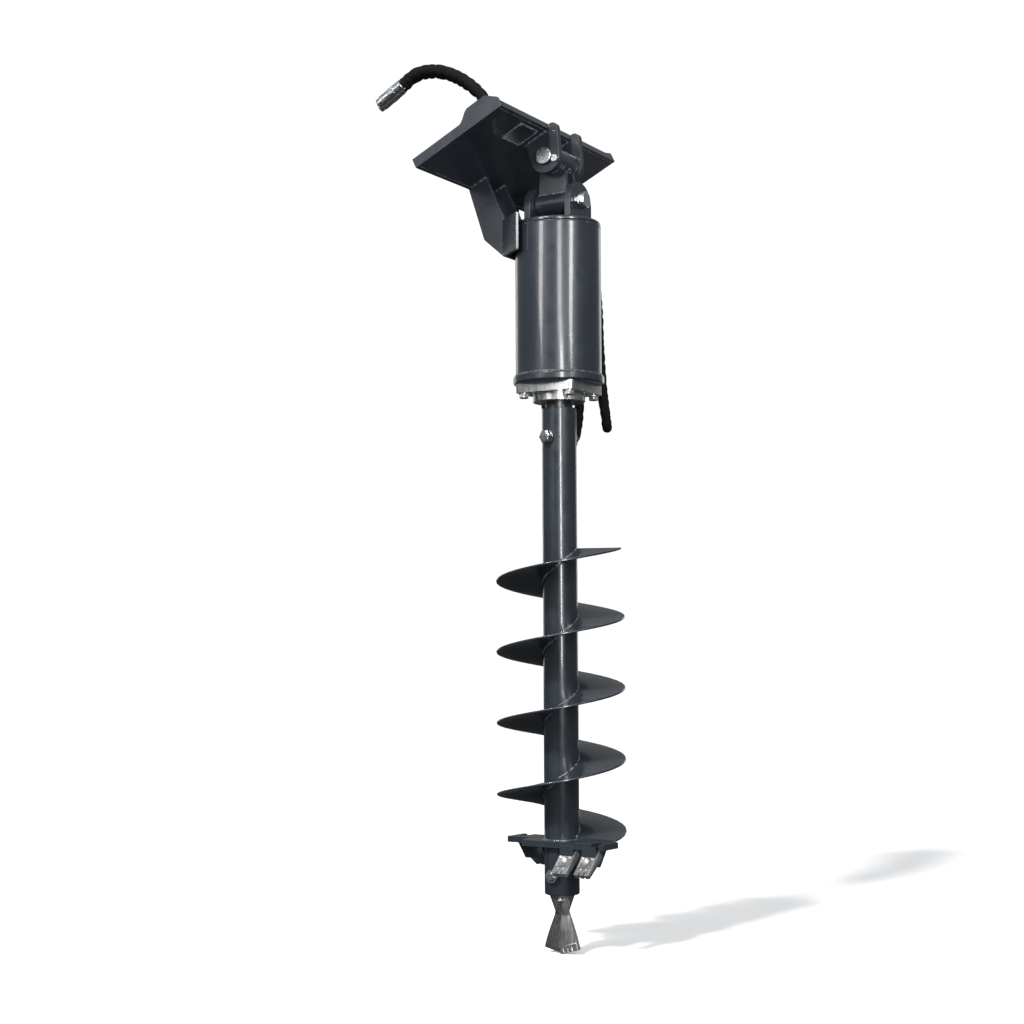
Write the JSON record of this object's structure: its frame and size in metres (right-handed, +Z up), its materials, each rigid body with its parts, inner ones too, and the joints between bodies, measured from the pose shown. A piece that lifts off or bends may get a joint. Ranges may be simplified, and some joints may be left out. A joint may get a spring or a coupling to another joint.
{
  "type": "earth auger drive",
  "caption": "Hydraulic earth auger: quick-attach plate with cradle, two-axis swing link, cylindrical planetary drive, flighted auger with toothed cutting head and twisted pilot bit.",
  "frame": {"origin": "middle of the mount plate's rear face, where the loader's attachment plate rests", "axes": "+Z up with the drive hanging at rest, +X along the mount plate, -Y to the front of the drive"},
  "size_m": [0.5646, 0.558, 2.1068],
  "materials": {
    "charcoal_paint": "semi-gloss charcoal blue-grey paint",
    "zinc_plate": "bright zinc plate",
    "machined_steel": "machined steel",
    "gear_steel": "ground gear steel",
    "cast_iron": "cast iron",
    "forged_steel": "forged steel with a cast skin",
    "bearing_bronze": "bearing bronze",
    "black_sleeve": "black woven hose sleeve"
  },
  "bodies": {
    "mount_frame": {"mount_plate": "charcoal_paint", "hook_lip": "charcoal_paint", "latch_bar": "charcoal_paint", "end_gusset_left": "charcoal_paint", "end_gusset_right": "charcoal_paint", "mount_ear_left": "charcoal_paint", "mount_ear_right": "charcoal_paint", "cradle_gusset_left": "charcoal_paint", "cradle_gusset_right": "charcoal_paint", "cradle_pad": "charcoal_paint", "upper_pin": "zinc_plate", "upper_pin_keeper": "zinc_plate", "hose_mount_1": "black_sleeve", "hose_mount_2": "black_sleeve", "hose_coupler_1": "zinc_plate", "hose_coupler_2": "zinc_plate"},
    "swing_link": {"link_upper_tube": "charcoal_paint", "link_lower_tube": "charcoal_paint", "link_web_left": "charcoal_paint", "link_web_right": "charcoal_paint", "upper_bushing": "bearing_bronze", "lower_bushing": "bearing_bronze", "hose_link_1": "black_sleeve", "hose_link_2": "black_sleeve"},
    "drive": {"drive_housing": "charcoal_paint", "housing_top_plate": "charcoal_paint", "drive_ear_front": "charcoal_paint", "drive_ear_rear": "charcoal_paint", "lower_pin": "zinc_plate", "lower_pin_keeper": "zinc_plate", "housing_flange_ring": "charcoal_paint", "gearbox_flange": "machined_steel", "flange_bolt_1": "zinc_plate", "flange_bolt_2": "zinc_plate", "flange_bolt_3": "zinc_plate", "flange_bolt_4": "zinc_plate", "ring_gear_case": "gear_steel", "motor_adapter": "cast_iron", "motor_body": "cast_iron", "port_fitting_pressure": "zinc_plate", "port_fitting_return": "zinc_plate", "output_bearing_cup": "bearing_bronze", "hose_drive_1": "black_sleeve", "hose_drive_2": "black_sleeve"},
    "sun": {"sun_gear_shaft": "gear_steel"},
    "planet_1": {"planet_gear_1": "gear_steel"},
    "planet_2": {"planet_gear_2": "gear_steel"},
    "planet_3": {"planet_gear_3": "gear_steel"},
    "auger": {"planet_carrier": "gear_steel", "output_shaft": "machined_steel", "auger_tube": "charcoal_paint", "auger_flight": "charcoal_paint", "head_plate": "charcoal_paint", "tooth_1": "forged_steel", "tooth_2": "forged_steel", "tooth_3": "forged_steel", "tooth_4": "forged_steel", "pilot_bit": "forged_steel", "hub_bolt": "zinc_plate", "pilot_bolt": "zinc_plate"}
  },
  "joints": [
    {"name": "swing", "type": "hinge", "parent": "mount_frame", "child": "swing_link", "pos_m": [0, -0.11026, -0.01945], "axis": [1, 0, 0], "range_deg": [-75, 1]},
    {"name": "sway", "type": "hinge", "parent": "swing_link", "child": "drive", "pos_m": [0, -0.11026, -0.12145], "axis": [0, 1, 0], "range_deg": [-3.5, 3.5]},
    {"name": "auger_spin", "type": "hinge", "parent": "drive", "child": "auger", "pos_m": [0, -0.11026, -0.61825], "axis": [0, 0, 1], "continuous": true},
    {"name": "sun_spin", "type": "hinge", "parent": "drive", "child": "sun", "pos_m": [0, -0.11026, -0.52945], "axis": [0, 0, 1], "continuous": true},
    {"name": "planet_1_spin", "type": "hinge", "parent": "auger", "child": "planet_1", "pos_m": [0.0375, -0.11026, -0.52945], "axis": [0, 0, 1], "continuous": true},
    {"name": "planet_2_spin", "type": "hinge", "parent": "auger", "child": "planet_2", "pos_m": [-0.01875, -0.07778, -0.52945], "axis": [0, 0, 1], "continuous": true},
    {"name": "planet_3_spin", "type": "hinge", "parent": "auger", "child": "planet_3", "pos_m": [-0.01875, -0.14273, -0.52945], "axis": [0, 0, 1], "continuous": true}
  ],
  "couplings": [
    {"joint": "sun_spin", "follows": "auger_spin", "ratio": 5},
    {"joint": "planet_1_spin", "follows": "auger_spin", "ratio": -2.6667},
    {"joint": "planet_2_spin", "follows": "auger_spin", "ratio": -2.6667},
    {"joint": "planet_3_spin", "follows": "auger_spin", "ratio": -2.6667}
  ]
}
